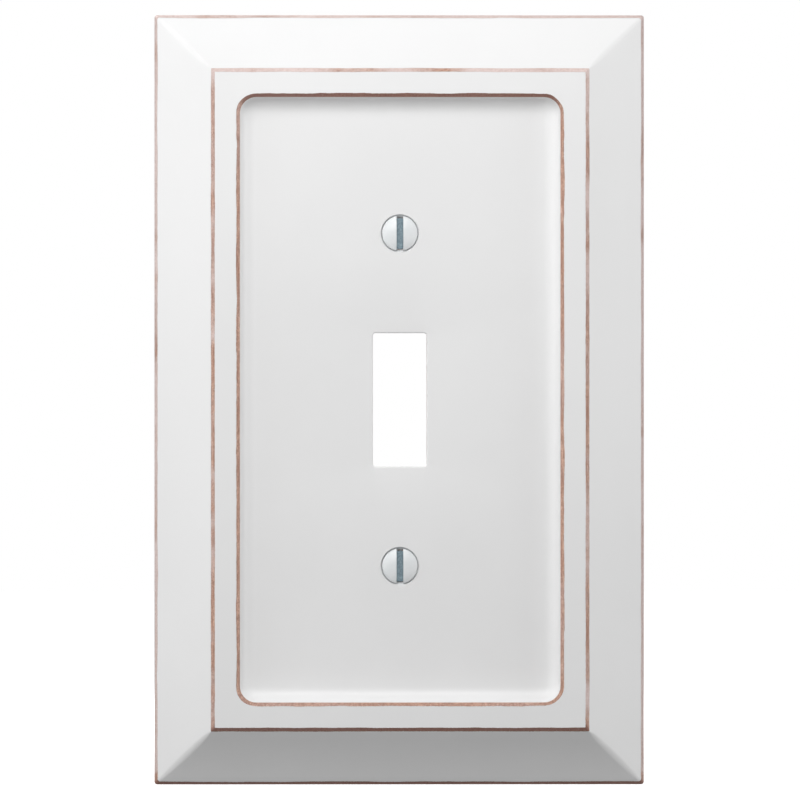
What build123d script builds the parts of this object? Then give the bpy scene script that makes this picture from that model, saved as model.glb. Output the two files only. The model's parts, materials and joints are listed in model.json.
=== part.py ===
from build123d import *
from math import radians, tan
import os

# The cover plate of a toggle wall switch, with the two screws that hold it to the switch.
#
# The plate is routed from one piece of wood. From its outside inwards the front has a straight edge,
# a dished bevel, a raised band, a coved step down, and a flat panel with the toggle opening and two
# countersunk screw holes. The back is hollowed out for the switch's strap and the wall box, so only
# a rim round the outside touches the wall.
#
# Each piece is built lying on its back, with z the height above the wall, and stood up at the end.
# Stood up, +Z is up, the front faces -Y and the wall plane is y = 0. The origin lies in the wall
# plane, halfway between the screws.

# Plate, mm
PLATE_WIDTH = 88.9
PLATE_HEIGHT = 139.7
EDGE_HEIGHT = 3.0           # straight outer edge, from the wall to the foot of the bevel
SIDE_BEVEL_WIDTH = 10.5     # along the two long sides
END_BEVEL_WIDTH = 10.1      # along the top and bottom
BEVEL_RISE = 7.4
BEVEL_HOLLOW = 0.3          # how far the bevel's middle is dished in
BAND_STEP = 0.6             # how far the band stands above the top of the bevel
BAND_WIDTH = 4.9
LIP_HEIGHT = 0.8            # straight step below the band, above the cove
COVE_RADIUS = 2.7
PANEL_CORNER = 0.3          # corner radius of the panel, inside the cove
PANEL_THICKNESS = 3.2
BACK_RIM = 11.5             # width of the face that touches the wall
POCKET_CORNER = 6.0
CORNER_ROUND = 0.5          # the plate's four outer corners
EDGE_WEAR = 0.6             # sanded-off strip at the foot of the bevel, along each side of it
BAND_WEAR = 0.3             # the step up to the band is sanded to a slope, this far each side of it
LIP_WEAR = 0.6              # sanded-off strip along the band's inner edge

# Toggle opening, mm
TOGGLE_WIDTH = 9.8
TOGGLE_HEIGHT = 24.2
TOGGLE_CORNER = 0.5
TOGGLE_ROUND = 0.25         # rounding of the opening's front edge

# Screws, mm: slotted oval-head machine screws
SCREW_SPACING = 60.325      # 2 3/8 in, between a toggle switch's two tapped holes
SCREW_LENGTH = 19.05        # 3/4 in, from the head's rim to the tip
THREAD_DIAMETER = 3.505     # number 6, over the thread
NECK_DIAMETER = 2.99        # plain neck under the head, as wide as the blank that the thread is rolled on
NECK_LENGTH = 1.6           # from the end of the underside to the first thread
HEAD_DIAMETER = 6.4
HEAD_ANGLE = 82.0           # included angle of the head's underside
HEAD_LAND = 0.15            # thin straight rim between the underside and the dome
HEAD_DOME = 0.9
SLOT_WIDTH = 1.2
SLOT_DEPTH = 1.5
TIP_CHAMFER = 0.5

# Clearances, mm
HEAD_CLEARANCE = 0.25       # between the head's rim and the countersink's, on the radius
SHANK_CLEARANCE = 0.28      # between the thread and its hole, on the radius

# Heights above the wall, and outlines, that follow from the sizes above
bevel_top = EDGE_HEIGHT + BEVEL_RISE
band_height = bevel_top + BAND_STEP
panel_height = band_height - LIP_HEIGHT - COVE_RADIUS
pocket_depth = panel_height - PANEL_THICKNESS
side_frame = SIDE_BEVEL_WIDTH + BAND_WIDTH
end_frame = END_BEVEL_WIDTH + BAND_WIDTH
recess_size = (PLATE_WIDTH - 2 * side_frame, PLATE_HEIGHT - 2 * end_frame)
pocket_size = (PLATE_WIDTH - 2 * BACK_RIM, PLATE_HEIGHT - 2 * BACK_RIM)
screw_places = {"upper_screw": SCREW_SPACING / 2, "lower_screw": -SCREW_SPACING / 2}
head_radius = HEAD_DIAMETER / 2
thread_radius = THREAD_DIAMETER / 2
neck_radius = NECK_DIAMETER / 2

CUT_PAST = 1.0              # how far a cut runs past the face it opens through
NEAR = 0.01                 # how close an edge's height must be to count as on a face


def standing(shape, up=0.0, off_wall=0.0):
    """Stands up a shape built on its back, and moves it up and off the wall."""
    return Pos(0, -off_wall, up) * Rot(X=90) * shape


def cone_height(wide, narrow):
    """The height over which the head's angle narrows from one radius to the other."""
    return (wide - narrow) / tan(radians(HEAD_ANGLE / 2))


def edges_at(shape, height):
    """The level edges at one height."""
    return shape.edges().filter_by_position(Axis.Z, height - NEAR, height + NEAR)


def section(size, bevel_width):
    """The outside of a cut across the plate: dished bevels, with their edges worn flat."""
    half = size / 2
    foot, top = Vector(half, EDGE_HEIGHT), Vector(half - bevel_width + BAND_WEAR, bevel_top)
    up_bevel = (top - foot).normalized()
    into_wood = up_bevel.rotate(Axis.Z, 90)
    start = foot + up_bevel * EDGE_WEAR
    middle = (start + top) / 2 + into_wood * BEVEL_HOLLOW
    edge = Polyline((half, 0), (half, EDGE_HEIGHT - EDGE_WEAR), start)
    bevel = ThreePointArc(start, middle, top)
    step = Line(top, (half - bevel_width - BAND_WEAR, band_height))
    right = edge + bevel + step
    left = mirror(right, about=Plane.YZ)
    return make_face(right + Line(right @ 1, left @ 1) + left + Line(left @ 0, right @ 0))


def blank():
    """The plate's outside: where two prisms cross, their bevels are mitred."""
    across = section(PLATE_WIDTH, SIDE_BEVEL_WIDTH)
    upright = section(PLATE_HEIGHT, END_BEVEL_WIDTH)
    long_prism = extrude(Plane.XZ * across, PLATE_HEIGHT / 2 + CUT_PAST, both=True)
    wide_prism = extrude(Plane.YZ * upright, PLATE_WIDTH / 2 + CUT_PAST, both=True)
    corners = extrude(RectangleRounded(PLATE_WIDTH, PLATE_HEIGHT, CORNER_ROUND), band_height)
    return long_prism & wide_prism & corners


def recess():
    """The space in front of the panel: straight at the top, with a cove down to the panel."""
    corner = PANEL_CORNER + COVE_RADIUS
    depth = LIP_HEIGHT + COVE_RADIUS + CUT_PAST
    space = extrude(Pos(0, 0, panel_height) * RectangleRounded(*recess_size, corner), depth)
    return fillet(edges_at(space, panel_height), COVE_RADIUS)


def pocket():
    """The hollow in the back."""
    outline = RectangleRounded(*pocket_size, POCKET_CORNER)
    return extrude(Pos(0, 0, -CUT_PAST) * outline, pocket_depth + CUT_PAST)


def toggle_opening():
    """The hole that the switch's toggle stands through."""
    outline = RectangleRounded(TOGGLE_WIDTH, TOGGLE_HEIGHT, TOGGLE_CORNER)
    return extrude(outline, band_height)


def screw_hole(up):
    """A countersunk clearance hole, sized from the screw that it holds."""
    mouth = head_radius + HEAD_CLEARANCE
    bore = thread_radius + SHANK_CLEARANCE
    sink = cone_height(mouth, bore)
    profile = Polyline(
        (0, 0),
        (bore, 0),
        (bore, panel_height - sink),
        (mouth, panel_height),
        (mouth, panel_height + CUT_PAST),
        (0, panel_height + CUT_PAST),
        close=True,
    )
    return Pos(0, up, 0) * revolve(Plane.XZ * make_face(profile), Axis.Z)


def edges_inside(shape, height, size):
    """The level edges at one height, on or inside an outline of this width and length."""

    def inside(edge):
        middle = edge.center()
        return abs(middle.X) < size[0] / 2 + NEAR and abs(middle.Y) < size[1] / 2 + NEAR

    return edges_at(shape, height).filter_by(inside)


def wall_plate():
    plate = blank() - recess()
    plate = chamfer(edges_inside(plate, band_height, recess_size), LIP_WEAR)
    plate -= toggle_opening()
    plate = fillet(edges_inside(plate, panel_height, (TOGGLE_WIDTH, TOGGLE_HEIGHT)), TOGGLE_ROUND)
    plate -= pocket()
    for up in screw_places.values():
        plate -= screw_hole(up)
    return standing(plate)


def screw():
    """One screw with z along its axis, its head's rim at z = 0 and its slot along y."""
    underside = cone_height(head_radius, neck_radius)
    thread_start = underside + NECK_LENGTH
    top = HEAD_LAND + HEAD_DOME
    dome_radius = (head_radius**2 + HEAD_DOME**2) / (2 * HEAD_DOME)
    side = Polyline(
        (0, -SCREW_LENGTH),
        (thread_radius - TIP_CHAMFER, -SCREW_LENGTH),
        (thread_radius, TIP_CHAMFER - SCREW_LENGTH),
        (thread_radius, -thread_start),
        (neck_radius, -thread_start),
        (neck_radius, -underside),
        (head_radius, 0),
        (head_radius, HEAD_LAND),
    )
    dome = RadiusArc((head_radius, HEAD_LAND), (0, top), -dome_radius)
    axis = Line((0, top), (0, -SCREW_LENGTH))
    body = revolve(Plane.XZ * make_face(side + dome + axis), Axis.Z)
    slot = Box(SLOT_WIDTH, 2 * HEAD_DIAMETER, SLOT_DEPTH + CUT_PAST)
    return body - Pos(0, 0, top + (CUT_PAST - SLOT_DEPTH) / 2) * slot


def main():
    os.makedirs("parts", exist_ok=True)
    export_step(wall_plate(), "parts/wall_plate.step")
    for name, up in screw_places.items():
        export_step(standing(screw(), up, panel_height), f"parts/{name}.step")


main()
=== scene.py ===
"""The cover plate of a toggle wall switch: white paint over wood, worn through along its edges.

Sizes are in metres. +Z is up, the plate's front faces -Y and its back lies in the plane y = 0.
"""
import json
import math

import bmesh
import bpy
from mathutils import Matrix, Vector, noise


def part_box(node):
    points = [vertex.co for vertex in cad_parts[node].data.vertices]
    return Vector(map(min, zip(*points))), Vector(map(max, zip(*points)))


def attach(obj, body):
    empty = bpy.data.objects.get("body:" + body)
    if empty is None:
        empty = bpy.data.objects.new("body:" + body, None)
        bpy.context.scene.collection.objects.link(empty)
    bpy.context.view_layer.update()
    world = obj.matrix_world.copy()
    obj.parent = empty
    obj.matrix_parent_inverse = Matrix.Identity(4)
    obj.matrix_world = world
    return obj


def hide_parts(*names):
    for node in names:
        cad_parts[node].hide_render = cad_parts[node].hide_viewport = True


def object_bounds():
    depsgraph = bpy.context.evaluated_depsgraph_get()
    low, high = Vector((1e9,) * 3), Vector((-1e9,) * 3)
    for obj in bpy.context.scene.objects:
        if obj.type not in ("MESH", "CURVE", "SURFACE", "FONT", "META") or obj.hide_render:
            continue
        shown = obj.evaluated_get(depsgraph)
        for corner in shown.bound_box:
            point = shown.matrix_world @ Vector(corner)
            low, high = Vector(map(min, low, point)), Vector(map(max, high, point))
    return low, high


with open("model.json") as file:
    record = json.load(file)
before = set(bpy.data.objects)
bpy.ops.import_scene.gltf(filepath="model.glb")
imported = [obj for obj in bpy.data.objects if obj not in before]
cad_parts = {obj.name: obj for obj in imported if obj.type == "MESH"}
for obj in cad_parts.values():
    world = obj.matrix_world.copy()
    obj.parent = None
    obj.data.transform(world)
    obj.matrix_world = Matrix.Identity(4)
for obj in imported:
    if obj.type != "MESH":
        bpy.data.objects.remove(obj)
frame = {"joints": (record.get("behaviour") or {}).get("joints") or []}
cad_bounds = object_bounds()

MM = 0.001
SHARP = math.radians(35)        # screw edges sharper than this are shaded as edges

# ---------------------------------------------------------------- sizes

plate_low, plate_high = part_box("wall_plate")
HALF_OUTLINE = ((plate_high.x - plate_low.x) / 2, (plate_high.z - plate_low.z) / 2)
BAND_HEIGHT = -plate_low.y                          # every height is counted from the wall
PANEL_HEIGHT = -frame["joints"][0]["pos_m"][1]      # the screws turn about points on the panel

EDGE_HEIGHT = 3.0 * MM
SIDE_BEVEL_WIDTH = 10.5 * MM
END_BEVEL_WIDTH = 10.1 * MM
BEVEL_HOLLOW = 0.3 * MM
BAND_STEP = 0.6 * MM            # how far the band stands above the top of the bevel
BAND_WIDTH = 4.9 * MM
LIP_HEIGHT = 0.8 * MM
COVE_RADIUS = 2.7 * MM
PANEL_CORNER = 0.3 * MM
BACK_RIM = 11.5 * MM
POCKET_CORNER = 6.0 * MM
POCKET_DEPTH = 4.3 * MM
CORNER_ROUND = 0.5 * MM
BAND_CORNER = 0.12 * MM
EDGE_WEAR = 0.6 * MM
BAND_WEAR = 0.3 * MM
LIP_WEAR = 0.6 * MM
FEATHER = 0.2 * MM              # the paint thins over this distance beside a worn strip
BEVEL_MITRE = 0.5 * MM          # how far the paint rounds the bevels' mitres
ARRIS = 0.15 * MM               # how far the back's sharp edges are broken
OVERSPRAY = 3.0 * MM            # how far paint mist reaches in over the back
TOGGLE_HALF = (4.9 * MM, 12.1 * MM)
TOGGLE_CORNER = 0.5 * MM
TOGGLE_ROUND = 0.25 * MM

HEAD_RADIUS = 3.2 * MM
HEAD_LAND = 0.15 * MM
HEAD_DOME = 0.9 * MM
HEAD_ANGLE = math.radians(82)
HEAD_CLEARANCE = 0.25 * MM
NECK_RADIUS = 1.495 * MM
NECK_LENGTH = 1.6 * MM
THREAD_RADIUS = 1.7525 * MM
THREAD_ROOT = 1.323 * MM
THREAD_PITCH = 0.79375 * MM     # 32 turns to the inch
HOLE_RADIUS = THREAD_RADIUS + 0.28 * MM
SCREW_LENGTH = 19.05 * MM
SLOT_WIDTH = 1.2 * MM
SLOT_DEPTH = 1.5 * MM
SLOT_BREAK = 0.05 * MM          # how far the slot's edges are broken
TIP_CHAMFER = 0.5 * MM


def centre_of(node):
    """The middle of a node's box, seen from the front: x and z."""
    low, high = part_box(node)
    return (low.x + high.x) / 2, (low.z + high.z) / 2


SCREWS = {name: centre_of(name) for name in ("upper_screw", "lower_screw")}


# ---------------------------------------------------------------- outlines

CORNER_SIGNS = ((1, 1), (-1, 1), (-1, -1), (1, -1))


def corner_point(corner, angle, half, radius):
    """A point on one corner's arc of a rounded rectangle."""
    sign_x, sign_z = CORNER_SIGNS[corner]
    x = sign_x * (half[0] - radius) + radius * math.cos(angle)
    z = sign_z * (half[1] - radius) + radius * math.sin(angle)
    return Vector((x, z))


def stations(per_corner, along_width, along_height):
    """Places round a rounded rectangle of any size, each a share of the way between two corners."""
    places = []
    for corner in range(4):
        for step in range(per_corner + 1):
            angle = (corner + step / per_corner) * math.pi / 2
            places.append((corner, corner, angle, 0.0))
        count = along_height if corner % 2 else along_width
        for step in range(1, count + 1):
            places.append((corner, (corner + 1) % 4, angle, step / (count + 1)))
    return places


def outline_point(place, half, radius):
    """The point of a rounded rectangle at one of its stations."""
    first, second, angle, share = place
    return corner_point(first, angle, half, radius).lerp(corner_point(second, angle, half, radius), share)


def wear_at(point, seed):
    """How much wider or narrower than usual a sanded strip is at a point: about 1."""
    x, z = point / MM
    slow = noise.noise(Vector((x * 0.11, z * 0.11, seed)))
    quick = noise.noise(Vector((x * 0.45, z * 0.45, seed + 9.0)))
    return 1 + 0.25 * slow + 0.12 * quick


# ---------------------------------------------------------------- shells

class Shell:
    """A closed mesh made of rings of points. It notes how bare of paint each point is, and how far the
    sanding went there, from 0 where it stopped in the primer; values near 1.5, on worn strips that face
    down, are painted shade."""

    def __init__(self):
        self.mesh = bmesh.new()
        self.bare = self.mesh.verts.layers.float.new("bare")
        self.depth_and_shade = self.mesh.verts.layers.float.new("depth_and_shade")

    def ring(self, points, bare, depth_and_shade):
        """Adds one ring of points, each given as (x, height, z)."""
        ring = [self.mesh.verts.new((x, -height, z)) for x, height, z in points]
        for vert in ring:
            vert[self.bare] = bare
            vert[self.depth_and_shade] = depth_and_shade
        return ring

    def join(self, rings):
        """Joins each ring to the next with a band of faces."""
        for one, other in zip(rings, rings[1:]):
            for i in range(len(one)):
                j = (i + 1) % len(one)
                self.mesh.faces.new((one[i], one[j], other[j], other[i]))

    def fill(self, loops):
        """Fills the flat region between the first loop and the others."""
        edges = []
        for loop in loops:
            for i, vert in enumerate(loop):
                edges.append(self.mesh.edges.get((vert, loop[(i + 1) % len(loop)])))
        bmesh.ops.triangle_fill(self.mesh, use_beauty=True, edges=edges)


def finished(mesh, name, sharp_angle):
    """The object for a mesh, with its faces turned outwards and smooth but for its sharp edges."""
    bmesh.ops.recalc_face_normals(mesh, faces=mesh.faces)
    data = bpy.data.meshes.new(name)
    mesh.to_mesh(data)
    mesh.free()
    data.shade_smooth()
    data.set_sharp_from_angle(angle=sharp_angle)
    piece = bpy.data.objects.new(name, data)
    bpy.context.scene.collection.objects.link(piece)
    return piece


# ---------------------------------------------------------------- plate

INWARD, FRONT = Vector((1, 1, 0)), Vector((0, 0, 1))
WOOD = 1.0                      # how deep: sanded down to the wood
SHADED_WOOD = 1.5                      # wood painted darker, as shade on the worn strips that face down
RAW = 2.0                       # no sanding: wood that was never painted, or only by overspray
RIM_WEAR_AND_SHADE = (0.2, 0.2, SHADED_WOOD)   # along the top, the sides and the bottom; ends that face down are painted dark as shade, and the band's top end, facing up, is kept lighter as painted light
BAND_WEAR_AND_SHADE = (0.3, 0.5, SHADED_WOOD)
LIP_WEAR_AND_SHADE = (SHADED_WOOD, WOOD, WOOD)
UNPAINTED = 1.3                 # how bare: beyond the reach of the paint
END_REACH = 2.0 * MM            # the change from the sides to an end takes this distance
BEVEL_STEPS, COVE_STEPS = 10, 12
HOLE_POINTS = 96


def rectangle_ring(shell, places, spot, radius, bare, depth_and_shade=WOOD):
    """A ring at a spot on the plate's profile: its inset from the sides and the ends, and its height."""
    half = (HALF_OUTLINE[0] - spot.x, HALF_OUTLINE[1] - spot.y)
    outline = [outline_point(place, half, radius) for place in places]
    return shell.ring([(x, spot.z, z) for x, z in outline], bare, depth_and_shade)


def depth_and_shade_at(z, half_height, wear_and_shade):
    """How far the sanding went at height z on a ring, with painted shade at ends that face down
    and painted light at the band's top end. It changes near the ring's top and bottom.
    """
    top, sides, bottom = wear_and_shade
    near_end = max(0, 1 - (half_height - abs(z)) / END_REACH)
    return sides + ((top if z > 0 else bottom) - sides) * near_end


def worn_ring(shell, places, arris, direction, wear, beyond, radius, bare, wear_and_shade, seed):
    """A ring beside a sanded edge. It lies beyond the sanded strip, whose width wanders."""
    ring = []
    for place in places:
        worn = wear_at(outline_point(place, HALF_OUTLINE, radius), seed)
        side, end, height = arris + direction * (wear * worn + beyond)
        half = (HALF_OUTLINE[0] - side, HALF_OUTLINE[1] - end)
        x, z = outline_point(place, half, radius)
        ring += shell.ring([(x, height, z)], bare, depth_and_shade_at(z, half[1], wear_and_shade))
    return ring


def worn_edge(shell, places, sides, wear, radius, wear_and_shade, seed):
    """The four rings of a sanded edge: where the paint starts to thin, the strip's two sides, and
    where the paint is whole again. Each side is an arris and the way that leads away from it."""
    (first, before), (second, after) = sides
    rows = (
        (first, before, FEATHER, 0, seed),
        (first, before, 0, 1, seed),
        (second, after, 0, 1, seed + 1),
        (second, after, FEATHER, 0, seed + 1),
    )
    return [worn_ring(shell, places, arris, way, wear, beyond, radius, bare, wear_and_shade, number)
            for arris, way, beyond, bare, number in rows]


def back_rings(shell, places):
    """The rings from the pocket's floor, over the back, and part of the way up the straight edge."""
    mouth = Vector((BACK_RIM, BACK_RIM, 0))
    rows = (
        (mouth + FRONT * POCKET_DEPTH, POCKET_CORNER, UNPAINTED),
        (mouth + FRONT * ARRIS, POCKET_CORNER, UNPAINTED),
        (mouth - INWARD * ARRIS, POCKET_CORNER + ARRIS, UNPAINTED),
        (INWARD * 2 * OVERSPRAY, CORNER_ROUND, UNPAINTED),
        (INWARD * OVERSPRAY, CORNER_ROUND, 1),
        (INWARD * ARRIS, CORNER_ROUND, 0.7),
        (FRONT * ARRIS, CORNER_ROUND, 0.5),
        (FRONT * 2 * ARRIS, CORNER_ROUND, 0),
    )
    return [rectangle_ring(shell, places, *row, RAW) for row in rows]


def bevel_rings(shell, places, start, end):
    """The rings across the dished bevel, between its two worn edges."""
    slope = end - start
    into_wood = Vector((slope.z, slope.z, -(slope.x + slope.y) / 2)) / math.hypot(slope.x, slope.z)
    rings = []
    for step in range(1, BEVEL_STEPS):
        share = step / BEVEL_STEPS
        arch = 4 * share * (1 - share)
        spot = start.lerp(end, share) + into_wood * BEVEL_HOLLOW * arch
        rings.append(rectangle_ring(shell, places, spot, CORNER_ROUND + BEVEL_MITRE * arch, 0))
    return rings


def lip_rings(shell, places, lip):
    """The rings over the band's sanded inner edge, and down the cove to the panel."""
    corner = PANEL_CORNER + COVE_RADIUS
    rings = []
    for beyond, bare in ((FEATHER, 0), (0, 1)):
        radius = corner + LIP_WEAR + beyond
        ring = worn_ring(shell, places, lip, -INWARD, LIP_WEAR, beyond, radius, bare, LIP_WEAR_AND_SHADE, 5)
        rings.append(ring)
    rings.append(worn_ring(shell, places, lip, -FRONT, 0, LIP_WEAR, corner, 1, LIP_WEAR_AND_SHADE, 5))
    rings.append(rectangle_ring(shell, places, lip - FRONT * LIP_HEIGHT, corner, 0))
    for step in range(1, COVE_STEPS + 1):
        turn = math.pi / 2 * step / COVE_STEPS
        across, down = COVE_RADIUS * (1 - math.cos(turn)), LIP_HEIGHT + COVE_RADIUS * math.sin(turn)
        spot = lip + INWARD * across - FRONT * down
        rings.append(rectangle_ring(shell, places, spot, corner - across, 0))
    rings.append(rectangle_ring(shell, places, spot + INWARD * FEATHER, PANEL_CORNER, 0))
    return rings


def plate_rings(shell, places):
    """The rings from the pocket's floor, round the back and the edge, and in to the panel."""
    foot = FRONT * EDGE_HEIGHT
    band = Vector((SIDE_BEVEL_WIDTH, END_BEVEL_WIDTH, BAND_HEIGHT))
    top = band - INWARD * BAND_WEAR - FRONT * BAND_STEP
    bevel = top - foot
    up = bevel / math.hypot((bevel.x + bevel.y) / 2, bevel.z)
    rings = back_rings(shell, places)
    foot_sides = ((foot, -FRONT), (foot, up))
    rings += worn_edge(shell, places, foot_sides, EDGE_WEAR, CORNER_ROUND, RIM_WEAR_AND_SHADE, 1)
    rings += bevel_rings(shell, places, foot + up * (EDGE_WEAR + FEATHER), top - up * FEATHER)
    step_sides = ((top + up * BAND_WEAR, -up), (band, INWARD))
    rings += worn_edge(shell, places, step_sides, BAND_WEAR, BAND_CORNER, BAND_WEAR_AND_SHADE, 3)
    return rings + lip_rings(shell, places, band + INWARD * BAND_WIDTH)


def toggle_rings(shell):
    """The toggle opening, from its rounded front edge to the pocket's floor."""
    rows = []
    for turn in (0, 22.5, 45, 67.5, 90):
        angle = math.radians(turn)
        out, down = TOGGLE_ROUND * (1 - math.sin(angle)), TOGGLE_ROUND * (1 - math.cos(angle))
        rows.append((out, PANEL_HEIGHT - down, 0))
    rows += [(0, PANEL_HEIGHT - 3 * TOGGLE_ROUND, 0), (0, POCKET_DEPTH, 1)]
    rings = []
    for out, height, bare in rows:
        half = (TOGGLE_HALF[0] + out, TOGGLE_HALF[1] + out)
        outline = [outline_point(place, half, TOGGLE_CORNER + out) for place in stations(6, 12, 28)]
        rings.append(shell.ring([(x, height, z) for x, z in outline], bare, RAW))
    return rings


def hole_rings(shell, centre):
    """One countersunk screw hole, from the panel to the pocket's floor."""
    mouth = HEAD_RADIUS + HEAD_CLEARANCE
    sink = (mouth - HOLE_RADIUS) / math.tan(HEAD_ANGLE / 2)
    soft = 0.06 * MM
    paint_reach = 5 * soft
    rows = (
        (mouth + paint_reach, PANEL_HEIGHT, 0),
        (mouth + soft, PANEL_HEIGHT, 0),
        (mouth, PANEL_HEIGHT - soft, 0),
        (mouth - paint_reach, PANEL_HEIGHT - soft - paint_reach / math.tan(HEAD_ANGLE / 2), 0.6),
        (HOLE_RADIUS, PANEL_HEIGHT - sink, UNPAINTED),
        (HOLE_RADIUS, POCKET_DEPTH, UNPAINTED),
    )
    angles = [2 * math.pi * i / HOLE_POINTS for i in range(HOLE_POINTS)]
    rings = []
    for radius, height, bare in rows:
        outline = [(centre[0] + radius * math.cos(a), centre[1] + radius * math.sin(a)) for a in angles]
        points = [(x, height, z) for x, z in outline]
        rings.append(shell.ring(points, bare, RAW))
    return rings


def wall_plate():
    """The whole plate, one closed shell."""
    shell = Shell()
    rings = plate_rings(shell, stations(10, 100, 160))
    openings = [toggle_rings(shell)] + [hole_rings(shell, centre) for centre in SCREWS.values()]
    for chain in [rings] + openings:
        shell.join(chain)
    shell.fill([rings[-1]] + [chain[0] for chain in openings])
    shell.fill([rings[0]] + [chain[-1] for chain in openings])
    return finished(shell.mesh, "painted_plate", math.radians(40))


# ---------------------------------------------------------------- screws

COLUMNS = 72            # columns of points round a screw
THREAD_PROFILE = (      # one turn of the thread: share of the pitch, share of the way from root to crest
    (0.02, 0.0), (0.23, 0.0), (0.27, 0.08), (0.54, 0.92),
    (0.58, 1.0), (0.67, 1.0), (0.71, 0.92), (0.98, 0.08),
)
UNDERSIDE = (HEAD_RADIUS - NECK_RADIUS) / math.tan(HEAD_ANGLE / 2)
THREAD_TOP = -UNDERSIDE - NECK_LENGTH
TIP = -SCREW_LENGTH
SLOT_FLOOR = HEAD_LAND + HEAD_DOME - SLOT_DEPTH


def head_rows():
    """The head and neck as (radius, height above the rim), from the dome down to the thread."""
    ball = (HEAD_RADIUS**2 + HEAD_DOME**2) / (2 * HEAD_DOME)
    widest = math.asin(HEAD_RADIUS / ball)
    soft = 0.05 * MM
    rows = []
    for step in range(1, 16):
        turn = widest * step / 16
        rows.append((ball * math.sin(turn), HEAD_LAND + HEAD_DOME - ball * (1 - math.cos(turn))))
    rows += [(HEAD_RADIUS - soft, HEAD_LAND + soft / 2), (HEAD_RADIUS, HEAD_LAND - soft)]
    rows += [(HEAD_RADIUS, soft / 2)]
    rows += [(HEAD_RADIUS - soft, -soft), (NECK_RADIUS + soft, soft - UNDERSIDE)]
    rows += [(NECK_RADIUS, -UNDERSIDE - soft), (NECK_RADIUS, THREAD_TOP)]
    return rows


def thread_rows(turn):
    """The thread down one column of points, part of a turn round the screw."""
    rows = []
    turns = math.ceil((THREAD_TOP - TIP) / THREAD_PITCH) + 2
    for whole in range(turns):
        for share, rise in THREAD_PROFILE:
            height = THREAD_TOP + THREAD_PITCH * (turn - whole - share)
            height = min(max(height, TIP), THREAD_TOP)
            full = THREAD_ROOT + (THREAD_RADIUS - THREAD_ROOT) * rise
            run_in = min((THREAD_TOP - height) / THREAD_PITCH, 1)
            taper = THREAD_RADIUS - TIP_CHAMFER + height - TIP
            rows.append((min(NECK_RADIUS + (full - NECK_RADIUS) * run_in, taper), height))
    return rows


def turned_screw():
    """A screw about the z axis without its slot, its rim at z = 0."""
    mesh = bmesh.new()
    columns = []
    for i in range(COLUMNS + 1):
        angle = 2 * math.pi * i / COLUMNS
        rows = head_rows() + thread_rows(i / COLUMNS)
        columns.append([mesh.verts.new((r * math.cos(angle), r * math.sin(angle), h)) for r, h in rows])
    crown = mesh.verts.new((0, 0, HEAD_LAND + HEAD_DOME))
    point = mesh.verts.new((0, 0, TIP))
    for this, after in zip(columns, columns[1:]):
        mesh.faces.new((crown, this[0], after[0]))
        mesh.faces.new((point, after[-1], this[-1]))
        for j in range(len(this) - 1):
            mesh.faces.new((this[j], this[j + 1], after[j + 1], after[j]))
    bmesh.ops.remove_doubles(mesh, verts=mesh.verts, dist=0.0005 * MM)
    return finished(mesh, "turned_screw", SHARP)


def slot_cutter():
    """The block that cuts the slot right across the head."""
    mesh = bmesh.new()
    size = Matrix.Diagonal((SLOT_WIDTH, 4 * HEAD_RADIUS, 4 * SLOT_DEPTH, 1))
    middle = Matrix.Translation((0, 0, SLOT_FLOOR + 2 * SLOT_DEPTH))
    bmesh.ops.create_cube(mesh, size=1, matrix=middle @ size)
    return finished(mesh, "slot_cutter", SHARP)


def slotted(screw):
    """The screw's mesh with its slot cut."""
    cutter = slot_cutter()
    cut = screw.modifiers.new("slot", "BOOLEAN")
    cut.object = cutter
    cut.solver = "EXACT"
    evaluated = screw.evaluated_get(bpy.context.evaluated_depsgraph_get())
    mesh = bmesh.new()
    mesh.from_mesh(evaluated.to_mesh())
    for helper in (screw, cutter):
        bpy.data.objects.remove(helper)
    return mesh


def on_wall(vert):
    return abs(abs(vert.co.x) - SLOT_WIDTH / 2) < 0.001 * MM


def break_slot_edges(mesh):
    """Takes the sharpness off the slot's two long edges."""
    above_floor = SLOT_FLOOR + 0.01 * MM
    long_edges = [e for e in mesh.edges if all(on_wall(v) and v.co.z > above_floor for v in e.verts)]
    rims = [e for e in long_edges if any(not all(on_wall(v) for v in f.verts) for f in e.link_faces)]
    bmesh.ops.bevel(mesh, geom=rims, offset=SLOT_BREAK, segments=2, profile=0.5, affect="EDGES")


def bareness(vert):
    """How bare of paint a screw is at a point: the head is painted, its slot and shank are not."""
    x, y, z = vert.co
    if z < -0.02 * MM:
        return 1.0
    in_slot = abs(x) < SLOT_WIDTH / 2 + 0.01 * MM
    return 1.0 if in_slot else 0.0


def screw(name, centre):
    """One slotted oval-head screw in its place."""
    mesh = slotted(turned_screw())
    break_slot_edges(mesh)
    bare = mesh.verts.layers.float.new("bare")
    for vert in mesh.verts:
        vert[bare] = bareness(vert)
    piece = finished(mesh, name, SHARP)
    place = Matrix.Translation((centre[0], -PANEL_HEIGHT, centre[1]))
    piece.matrix_world = place @ Matrix.Rotation(math.pi / 2, 4, "X")
    return piece


# ---------------------------------------------------------------- finishes

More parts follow.
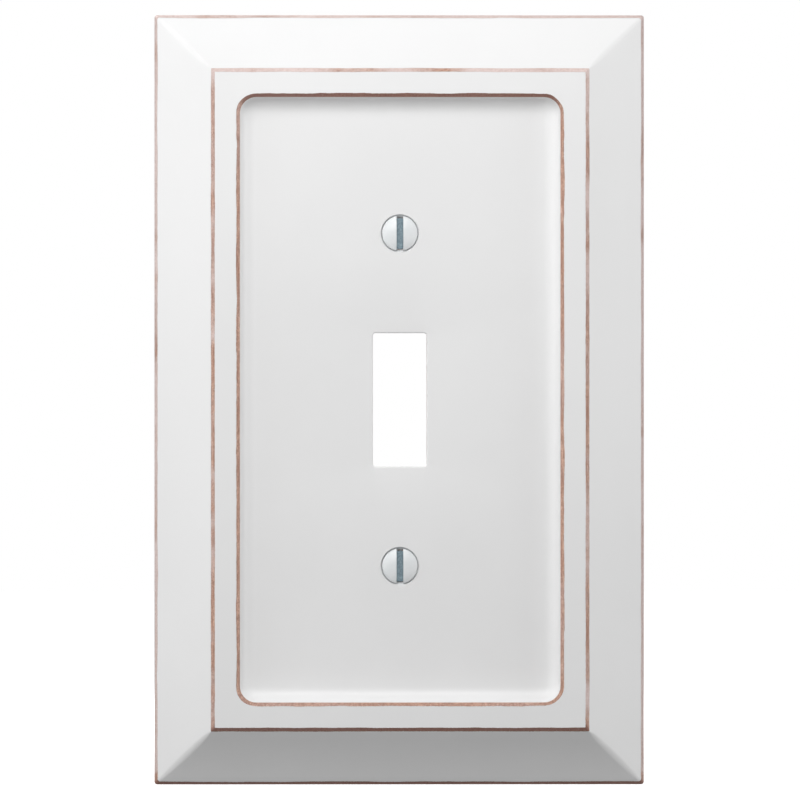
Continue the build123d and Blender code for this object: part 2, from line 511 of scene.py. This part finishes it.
class Finish:
    """A material while its nodes are being joined up. Its patterns are measured in millimetres."""

    def __init__(self, name):
        self.material = bpy.data.materials.new(name)
        self.material.use_nodes = True
        self.tree = self.material.node_tree
        self.surface = self.tree.nodes["Principled BSDF"]
        metres = self.node("TexCoord").outputs["Object"]
        scaled = self.node("VectorMath", {0: metres, 1: (1000, 1000, 1000)}, operation="MULTIPLY")
        self.places = scaled.outputs[0]

    def node(self, kind, inputs=None, **settings):
        """Adds a node. Each input is another node's output or a plain value."""
        node = self.tree.nodes.new("ShaderNode" + kind)
        for name, value in settings.items():
            setattr(node, name, value)
        for key, value in (inputs or {}).items():
            self.feed(value, node.inputs[key])
        return node

    def feed(self, value, socket):
        if isinstance(value, bpy.types.NodeSocket):
            self.tree.links.new(value, socket)
        else:
            socket.default_value = value

    def attribute(self, name):
        return self.node("Attribute", attribute_name=name).outputs["Fac"]

    def noise(self, scale, stretch=(1, 1, 1), turn=(0, 0, 0), detail=3.0, roughness=0.55):
        """Noise from 0 to 1, its scale in waves to the millimetre before it is stretched."""
        spread = tuple(scale / s for s in stretch)
        where = self.node("Mapping", {"Vector": self.places, "Rotation": turn, "Scale": spread}).outputs[0]
        inputs = {"Vector": where, "Scale": 1.0, "Detail": detail, "Roughness": roughness}
        return self.node("TexNoise", inputs).outputs["Fac"]

    def maths(self, operation, a, b=0.0, c=0.0):
        return self.node("Math", {0: a, 1: b, 2: c}, operation=operation).outputs[0]

    def total(self, *parts):
        """The sum of several (value, weight) pairs."""
        result = 0.0
        for value, weight in parts:
            result = self.maths("MULTIPLY_ADD", value, weight, result)
        return result

    def step(self, value, low, high, to_low=0.0, to_high=1.0):
        """A smooth step as value goes from low to high."""
        inputs = {"Value": value, "From Min": low, "From Max": high, "To Min": to_low, "To Max": to_high}
        return self.node("MapRange", inputs, interpolation_type="SMOOTHSTEP").outputs["Result"]

    def mix(self, share, a, b):
        """A blend of two colours."""
        node = self.node("Mix", data_type="RGBA")
        sockets = [s for s in node.inputs if s.enabled]
        for value, socket in zip((share, a, b), sockets):
            self.feed(value, socket)
        return next(s for s in node.outputs if s.enabled)

    def finish(self, colour, roughness, relief, depth, metal=0.0):
        """Joins the colour, roughness, relief (its depth in metres) and metal to the surface."""
        self.feed(colour, self.surface.inputs["Base Color"])
        self.feed(roughness, self.surface.inputs["Roughness"])
        self.feed(metal, self.surface.inputs["Metallic"])
        bump = self.node("Bump", {"Height": relief, "Distance": depth, "Strength": 1.0})
        self.feed(bump.outputs["Normal"], self.surface.inputs["Normal"])
        return self.material


def rgb(red, green, blue):
    return (red, green, blue, 1.0)


def worn_paint():
    """White paint over pinkish primer and wood, sanded through where the plate is bare, with painted shade
    on the worn strips that face down.
    """
    finish = Finish("worn_white_paint")
    # Where the paint is gone. The border is the strip just inside its edge.
    depth_and_shade = finish.attribute("depth_and_shade")
    sanded = finish.step(depth_and_shade, 1.6, 1.9, 1.0, 0.0)
    chips = finish.noise(3.2, detail=4.0, roughness=0.7)
    mist = finish.noise(7.0, detail=2.0)
    drift = finish.noise(0.09, detail=2.0)
    ticks = finish.noise(1.2, stretch=(0.35, 1, 2.2), turn=(0, 0.7, 0), detail=3.0)
    wear = finish.total((finish.attribute("bare"), 1.0), (chips, 0.8), (drift, 0.3), (mist, 0.4))
    wear = finish.maths("ADD", wear, -1.0)
    ticked = finish.maths("MULTIPLY", finish.maths("SUBTRACT", ticks, 0.5), sanded)
    wear = finish.maths("MULTIPLY_ADD", ticked, 0.3, wear)
    bare = finish.step(wear, 0.46, 0.58)
    border = finish.maths("SUBTRACT", finish.step(wear, 0.42, 0.56), finish.step(wear, 0.66, 0.86))
    border = finish.maths("MULTIPLY", border, sanded)

    # What shows there: primer or wood, by how far the sanding went, and painted shade on the strips that
    # face down.
    grain = finish.noise(1.3, stretch=(0.4, 0.4, 6.0), detail=6.0, roughness=0.65)
    wood = finish.mix(finish.step(grain, 0.36, 0.62), rgb(0.46, 0.24, 0.165), rgb(0.74, 0.47, 0.36))
    flecks = finish.step(finish.noise(0.05, detail=3.0), 0.48, 0.62, 0.0, 0.4)
    wood = finish.mix(finish.maths("MULTIPLY", flecks, sanded), wood, rgb(0.66, 0.50, 0.47))
    wood = finish.mix(finish.maths("MULTIPLY", border, 0.5), wood, rgb(0.24, 0.12, 0.09))
    marks = finish.maths("MULTIPLY", finish.step(ticks, 0.53, 0.61, 0.0, 0.5), sanded)
    wood = finish.mix(marks, wood, rgb(0.22, 0.11, 0.07))
    thin = finish.maths("MULTIPLY", border, 0.35)
    primer = finish.mix(thin, rgb(0.78, 0.64, 0.61), rgb(0.42, 0.27, 0.23))
    depth = finish.total((depth_and_shade, 1.0), (finish.noise(0.12, detail=4.0), 1.6))
    under = finish.mix(finish.step(depth, 0.95, 1.45), primer, wood)
    # Painted shade: the worn strips that face down are darkened toward a near-black brown.
    painted_shade = finish.maths("MULTIPLY", finish.step(depth_and_shade, 1.0, 1.4), sanded)
    under = finish.mix(finish.maths("MULTIPLY", painted_shade, 0.75), under, rgb(0.21, 0.085, 0.06))

    # The paint itself, faintly uneven.
    shade = finish.step(finish.noise(0.035, detail=3.0), 0.3, 0.7)
    paint = finish.mix(shade, rgb(0.865, 0.865, 0.865), rgb(0.885, 0.885, 0.885))
    colour = finish.mix(bare, paint, under)

    peel = finish.maths("MULTIPLY_ADD", finish.noise(0.9, detail=2.0), 0.15, 1.0)
    relief = finish.mix(bare, peel, finish.maths("MULTIPLY", grain, 0.5))
    rough = finish.step(bare, 0.0, 1.0, 0.36, 0.62)
    return finish.finish(colour, rough, relief, 0.05 * MM)


def painted_steel():
    """White enamel on a zinc-plated screw."""
    finish = Finish("enamelled_screw")
    chips = finish.noise(2.2, detail=5.0, roughness=0.7)
    wear = finish.total((finish.attribute("bare"), 1.0), (chips, 0.5))
    bare = finish.step(wear, 0.72, 0.86)
    rings = finish.noise(6.0, stretch=(1, 1, 0.2), detail=4.0)
    # Bare zinc, its colour painted darker than zinc, as the shade in the slot and in the gap under the
    # head.
    shaded_zinc = finish.mix(finish.step(rings, 0.3, 0.7), rgb(0.15, 0.20, 0.23), rgb(0.28, 0.36, 0.40))
    shade = finish.step(finish.noise(0.5), 0.3, 0.7)
    enamel = finish.mix(shade, rgb(0.82, 0.85, 0.86), rgb(0.87, 0.89, 0.90))
    colour = finish.mix(bare, enamel, shaded_zinc)
    relief = finish.total((rings, 0.25), (finish.noise(1.5), 0.4))
    rough = finish.step(bare, 0.0, 1.0, 0.30, 0.42)
    metal = finish.maths("MULTIPLY", bare, 0.85)
    return finish.finish(colour, rough, relief, 0.02 * MM, metal)


def floor_finish():
    """A pale floor. It glows less near the plate, so that a shadow can show there."""
    finish = Finish("studio_floor")
    drift = finish.noise(0.004, detail=2.0)
    colour = finish.mix(drift, rgb(0.90, 0.90, 0.90), rgb(0.92, 0.92, 0.92))
    distance = finish.node("VectorMath", {0: finish.places}, operation="LENGTH").outputs["Value"]
    glow = finish.step(distance, 60.0, 500.0, 0.50, 0.82)
    finish.feed(glow, finish.surface.inputs["Emission Strength"])
    finish.surface.inputs["Emission Color"].default_value = rgb(1.0, 1.0, 1.0)
    return finish.finish(colour, 0.8, drift, 0.01 * MM)


# ---------------------------------------------------------------- studio

def floor(level):
    """A floor that catches shadows but throws no light back at the plate."""
    bpy.ops.mesh.primitive_plane_add(size=6.0, location=(0, 0, level))
    ground = bpy.context.object
    ground.name = "studio_floor"
    ground.data.materials.append(floor_finish())
    ground.visible_diffuse = False


LIGHTS = (      # name, azimuth, elevation, distance, width and power in watts
    ("key", -8, 37, 0.35, 0.25, 0.71),
    ("above", 0, 80, 0.40, 0.25, 0.10),
    ("left_front", -45, 20, 0.60, 0.40, 0.59),
    ("left_side", -80, 10, 0.60, 0.40, 0.85),
    ("right_side", 80, 10, 0.60, 0.40, 1.16),
    ("behind", 200, 30, 0.90, 0.60, 4.5),
)


def area_light(name, azimuth, elevation, distance, size, power):
    """A soft square light aimed at the plate. Azimuth 0 is in front of it, 90 to its right."""
    turn, lift = math.radians(azimuth), math.radians(elevation)
    away = Vector((math.sin(turn) * math.cos(lift), -math.cos(turn) * math.cos(lift), math.sin(lift)))
    data = bpy.data.lights.new(name, "AREA")
    data.shape = "SQUARE"
    data.size = size
    data.energy = power
    light = bpy.data.objects.new(name, data)
    light.location = away * distance
    light.rotation_euler = away.to_track_quat("Z", "Y").to_euler()
    light.visible_camera = False
    bpy.context.scene.collection.objects.link(light)


def surroundings(strength):
    """An even light from all round, and a plain white background."""
    world = bpy.data.worlds.new("studio")
    bpy.context.scene.world = world
    world.use_nodes = True
    tree = world.node_tree
    tree.nodes.clear()
    kinds = ("LightPath", "MixShader", "OutputWorld")
    nodes = {kind: tree.nodes.new("ShaderNode" + kind) for kind in kinds}
    tree.links.new(nodes["LightPath"].outputs["Is Camera Ray"], nodes["MixShader"].inputs[0])
    for place, value in ((1, strength), (2, 1.0)):
        background = tree.nodes.new("ShaderNodeBackground")
        background.inputs["Color"].default_value = rgb(1.0, 1.0, 1.0)
        background.inputs["Strength"].default_value = value
        tree.links.new(background.outputs[0], nodes["MixShader"].inputs[place])
    tree.links.new(nodes["MixShader"].outputs[0], nodes["OutputWorld"].inputs["Surface"])


def camera():
    """A long lens almost straight in front of the plate, a little to its left."""
    distance, across, turn = 3.0, 145.44 * MM, math.radians(1.3)
    data = bpy.data.cameras.new("camera")
    data.lens = data.sensor_width * distance / across
    data.clip_end = 20.0
    viewer = bpy.data.objects.new("camera", data)
    aim = Vector((0.195 * MM, 0, -0.04 * MM))
    viewer.location = aim - Vector((math.sin(turn), math.cos(turn), 0)) * distance
    viewer.rotation_euler = (math.pi / 2, 0, -turn)
    bpy.context.scene.collection.objects.link(viewer)
    bpy.context.scene.camera = viewer


# ---------------------------------------------------------------- the scene

plate = wall_plate()
plate.data.materials.append(worn_paint())
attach(plate, "plate")
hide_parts("wall_plate")

steel = painted_steel()
for node_name, centre in SCREWS.items():
    made = screw("enamelled_" + node_name, centre)
    made.data.materials.append(steel)
    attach(made, node_name + "_body")
    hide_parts(node_name)

floor(cad_bounds[0][2])
for light in LIGHTS:
    area_light(*light)
surroundings(0.235)
camera()
bpy.context.scene.view_settings.view_transform = "Standard"
